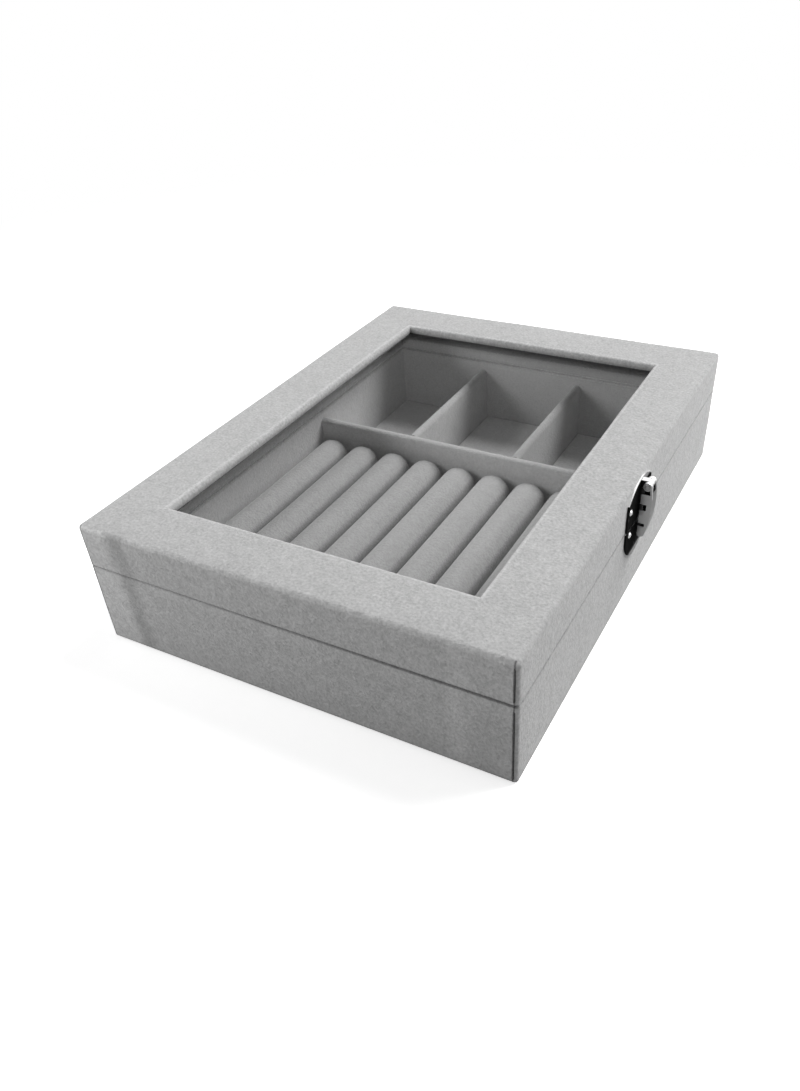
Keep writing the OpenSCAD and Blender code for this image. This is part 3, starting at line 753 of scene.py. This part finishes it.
# %% Felt finish
felt_cloth = Finish("felt")
fluff = felt_cloth.noise(0.6, 4, stretch=(1, 3, 1)) - 0.5
felt_cloth.surface(felt_cloth.node("ShaderNodeBsdfPrincipled", {
    "Base Color": felt_cloth.grey(0.045 + fluff * 0.03), "Roughness": 0.95,
    "Sheen Weight": 0.2, "Normal": felt_cloth.bump(fluff, 0.3)}))

# %% Felt sheet
felt = block("felt_sheet", (-72.5, -97.5, 0), (72.5, 97.5, FELT))
pick("EDGE", upright)
round_off(1.8, 4)
pick("EDGE", lambda e: sharp(e) and not upright(e))
round_off(0.15, 2)
bpy.ops.object.mode_set(mode="OBJECT")
complete(felt, "base", "felt", felt_cloth.material, "bottom_felt")

# %% [markdown]
# ## The ring rolls
# Each roll is a stick of foam wrapped in velvet and glued to a card, so it is round on top, flat
# below and tucked in at its ends. The foam presses the cloth out everywhere, which is what the
# Cloth simulation does with a little pressure: the block becomes round and crowned by itself. It
# starts a bit smaller than the roll, because it swells, and nothing may move further than a cap.
# One roll is made this way and copied eight times.
#
# Where two rolls touch, hardly any light gets in. The finish paints shade on the pile towards these
# valleys, by the distance from the middle of each roll, and paints the rolls a little lighter
# towards +x.

# %% One roll as a block
ROLLS, ROLL_LOW, ROLL_TOP, SWELL = 9, 4.2, 21.4, 0.4
PITCH = 2 * ROOM_W / ROLLS
ROLL_MIDDLE, ROLL_HALF = -35, 54.8 - SWELL
first_x = -ROOM_W + PITCH / 2


def painted_roll_shading(cloth):
    across = cloth.millimetres()[0] + ROOM_W
    turn = cloth.node("ShaderNodeMath", {0: across, 1: PITCH}, operation="MODULO")
    # painted shade in the valleys between rolls
    valley_shade = cloth.ramp(abs(turn - PITCH / 2), 5, 6.9)
    # painted light growing towards +x
    return (0.96 + cloth.ramp(across, 0, 100) * 0.08) * (1 - valley_shade * 0.62)


roll_velvet = velvet("roll_velvet", 0.35, grain=0.45, smudge=0.12, paint=painted_roll_shading)
foam_roll = block("ring_roll_velvet_1", (first_x - 6.6, ROLL_MIDDLE - ROLL_HALF, ROLL_LOW),
                  (first_x + 6.6, ROLL_MIDDLE + ROLL_HALF, ROLL_TOP - 0.5))
pick("EDGE", lambda e: level_at(e, ROLL_TOP - 0.5) and
     abs(e.verts[0].co.y - e.verts[1].co.y) > 50 * MM)
round_off(6.4, 8)
pick("EDGE", lambda e: sharp(e) and middle(e).z > ROLL_LOW + 1 and
     abs(abs(middle(e).y - ROLL_MIDDLE) - ROLL_HALF) < 0.1)
round_off(2.6, 4)
bpy.ops.object.mode_set(mode="OBJECT")
apply(foam_roll, "REMESH", mode="VOXEL", voxel_size=1.4 * MM)
print("roll block:", len(foam_roll.data.vertices), "points")

# %% Foam presses the velvet out
CAP = 0.45 * MM
before = [v.co.copy() for v in foam_roll.data.vertices]
cloth = foam_roll.modifiers.new("velvet", "CLOTH")
cloth.settings.use_pressure = True
cloth.settings.uniform_pressure_force = 4
cloth.settings.effector_weights.gravity = 0
cloth.settings.quality = 6
for step in range(1, 21):
    bpy.context.scene.frame_set(step)
bpy.ops.object.modifier_apply(modifier="velvet")
bpy.context.scene.frame_set(1)
moved = 0
for vertex, start in zip(foam_roll.data.vertices, before):
    step = vertex.co - start
    step = step.normalized() * min(step.length, CAP)
    if start.z < (ROLL_LOW + 0.7) * MM:
        step.z = 0
    vertex.co = start + step
    moved = max(moved, step.length)
print("the velvet moved by up to", round(moved / MM, 2), "mm")
apply(foam_roll, "SMOOTH", factor=0.5, iterations=4)
apply(foam_roll, "SUBSURF", levels=1, render_levels=1)

# %% Nine rolls
bpy.ops.object.mode_set(mode="OBJECT")
rolls = [foam_roll]
for index in range(2, ROLLS + 1):
    deselect()
    foam_roll.select_set(True)
    bpy.context.view_layer.objects.active = foam_roll
    bpy.ops.object.duplicate()
    copy = bpy.context.object
    copy.name = f"ring_roll_velvet_{index}"
    copy.location.x = (index - 1) * PITCH * MM
    rolls.append(copy)
for index, piece in enumerate(rolls, 1):
    complete(piece, "base", "roll_velvet", roll_velvet, f"ring_roll_{index}", angle=80)

# %% [markdown]
# ## Glass
# A pane is seen mostly by what it adds: a faint reflection, stronger at a grazing angle, over
# everything behind it. A Transparent shader passes the light of the lamps to the inside, which a
# refracting one would stop, and a Glossy one is mixed in by Fresnel's law.

# %% Glass finish
pane = Finish("glass")
mirror = pane.node("ShaderNodeBsdfAnisotropic", {"Color": (1, 1, 1, 1), "Roughness": 0.02})
clear = pane.node("ShaderNodeBsdfTransparent", {"Color": (0.985, 0.985, 0.985, 1)})
outer_face = 1 - pane.node("ShaderNodeNewGeometry", out=6)
share = pane.node("ShaderNodeFresnel", {"IOR": 1.45}) * outer_face * 0.4
pane.surface(pane.node("ShaderNodeMixShader", {0: share, 1: clear, 2: mirror}))
print("glass nodes:", len(pane.tree.nodes))

# %% [markdown]
# ## Metal
# The clasp and the hinges are nickel plate. On the clasp the broad faces are painted nearly black,
# a painted dark reflection, while edges and knuckles stay bright. Which face is broad can be read
# from the surface's own normal, because the plates lie flat against the box's side. So nothing has
# to be painted by hand, and the painted reflection stays on the same faces from every side. Where
# the paint is black the finish also stops being metal, because metal shines white at a grazing
# angle, however dark it is.

# %% Metal finish
def plated(name, shade, paint=None, rough=0.16):
    metal = Finish(name)
    wear = metal.noise(1.2, 4) - 0.5
    bright = paint(metal) if paint else 1
    metal.surface(metal.node("ShaderNodeBsdfPrincipled", {
        "Base Color": metal.grey(bright * (shade + wear * 0.1)), "Specular IOR Level": 0,
        "Metallic": metal.ramp(bright, 0.05, 0.14) if paint else 1,
        "Roughness": rough + wear * 0.12, "Normal": metal.bump(wear, 0.02)}))
    return metal.material


# %% Clasp plates: painted dark reflection on the faces, bright edges
TONGUE_MIDDLE = -3


def plate_painted_reflection(metal):
    x, y, z = metal.millimetres()
    # painted dark reflection on the broad faces, lighter towards the lower plate's tip
    broad_dark_reflection = (1 - metal.ramp(metal.normal()[2], 0.1, 0.4)) * \
        (0.75 + metal.ramp(z, 17, 21) * 0.25) * \
        (1 - metal.ramp(y, -2, 0) * metal.ramp(z, 42, 44) * 0.3)
    # painted shade on the catch inside the tongue
    catch_shade = (1 - metal.ramp(abs(y - TONGUE_MIDDLE), 1.9, 2.1)) * metal.ramp(x, 75.65, 75.7) * \
        (1 - metal.ramp(z, 30, 31))
    stain = metal.ramp(metal.noise(2.2, 2), 0.68, 0.8) * 0.12
    return 1 - metal.larger(broad_dark_reflection, catch_shade) * (0.985 - stain)


# %% [markdown]
# The tongue is a channel of bent sheet metal. Its cheeks and its front are painted grey outside,
# the front darker, and its inside and its level faces get painted shade. Its upper bend and one
# thin line near the top get painted highlights.

# %% Clasp tongue: painted grey outside, painted shade inside, painted highlights
def tongue_painted_light(metal):
    y, z = metal.millimetres()[1:]
    front, flat = (metal.normal()[axis] for axis in (0, 2))
    # painted highlights on the upper bend and on a thin line near the top
    crown_highlight = metal.ramp(z, 42.4, 43.2) * metal.ramp(flat, 0.05, 0.4)
    glint = metal.band(y, TONGUE_MIDDLE - 2.4, 0.2, 0.3) * metal.ramp(z, 38.8, 40.2) * \
        metal.ramp(front, 0.3, 0.6)
    # painted shade inside the channel and on its level faces
    hollow_shade = (1 - metal.ramp(abs(y - TONGUE_MIDDLE), 1.95, 2.05)) * \
        (1 - metal.ramp(front, 0.1, 0.4))
    ledge_shade = metal.ramp(abs(flat), 0.6, 0.8)
    # painted grey on the outside, darker on the front
    facing_shade = 0.52 + metal.ramp(front, 0.4, 0.8) * 0.26
    dark = facing_shade + metal.larger(hollow_shade, ledge_shade) * (0.99 - facing_shade)
    return 1 - (1 - metal.larger(crown_highlight, glint)) * dark


# %% The metals
plate_metal = plated("clasp_plate_metal", 1.0, plate_painted_reflection, rough=0.22)
tongue_metal = plated("clasp_tongue_metal", 1.0, tongue_painted_light, rough=0.3)
clasp_metal = plated("clasp_metal", 0.95)
pin_metal = plated("clasp_pin_metal", 0.3)
hinge_metal = plated("hinge_metal", 0.42, rough=0.28)
print("metals:", [m.name for m in bpy.data.materials if "metal" in m.name])

# %% [markdown]
# ## Board and card
# Under the velvet are boards of pressed wood fibre and a sheet of plain card. They show only where
# the cloth ends, but each keeps its own finish. Plain brown would do that far down. A noise drawn
# out along the grain costs no more, and it holds up when the box is taken apart. The board round
# the window is flocked grey below, where the open lid shows it.

# %% Fibreboard and card
def fibrous(name, colour, size, stretch, flocked=0):
    fibre_board = Finish(name)
    if flocked:
        below = fibre_board.ramp(0 - fibre_board.normal()[2], 0.4, 0.8)
        colour = [part + (flocked - part) * below for part in colour]
    fibre = fibre_board.noise(size, 4, stretch=stretch, rough=0.7) - 0.5
    patch = fibre_board.noise(size * 12, 2) - 0.5
    fibre_board.surface(fibre_board.node("ShaderNodeBsdfPrincipled", {
        "Base Color": fibre_board.tint(1 + fibre * 0.5 + patch * 0.25, colour),
        "Roughness": 0.85 + fibre * 0.1, "Normal": fibre_board.bump(fibre, 0.08)}))
    return fibre_board.material


WOOD = (0.52, 0.39, 0.25)
board_wood = fibrous("board_wood", WOOD, 0.5, (1, 4, 1))
flocked_board = fibrous("board_flocked_below", WOOD, 0.5, (1, 4, 1), flocked=0.4)
card = fibrous("card", (0.3, 0.29, 0.27), 0.35, (1, 1.6, 1))
print("board and card:", board_wood.name, flocked_board.name, card.name)

# %% [markdown]
# ## Giving each piece its finish
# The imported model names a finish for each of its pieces, so one loop can give them all out. Five
# pieces are special and get one of their own: the clasp's plates, tongue and pin, and the board
# round the window. One line for each piece would do the same, but it is easy to forget one.

# %% Each node gets the finish of its slot
finishes = {"outer_velvet": outer_velvet, "lining_velvet": lining_velvet,
            "tray_velvet": tray_velvet, "roll_velvet": roll_velvet, "felt": felt_cloth.material,
            "card": card, "board_wood": board_wood, "glass": pane.material,
            "clasp_metal": clasp_metal, "hinge_metal": hinge_metal}
special = {"clasp_upper_plate": plate_metal, "clasp_lower_plate": plate_metal,
           "clasp_tongue": tongue_metal, "clasp_pin": pin_metal, "lid_top_frame": flocked_board}
for part in frame["record"]["subparts"]:
    node = frame["nodes"][part["node"]]
    node.data.materials.clear()
    node.data.materials.append(special.get(part["node"], finishes[part["material_slot"]]))
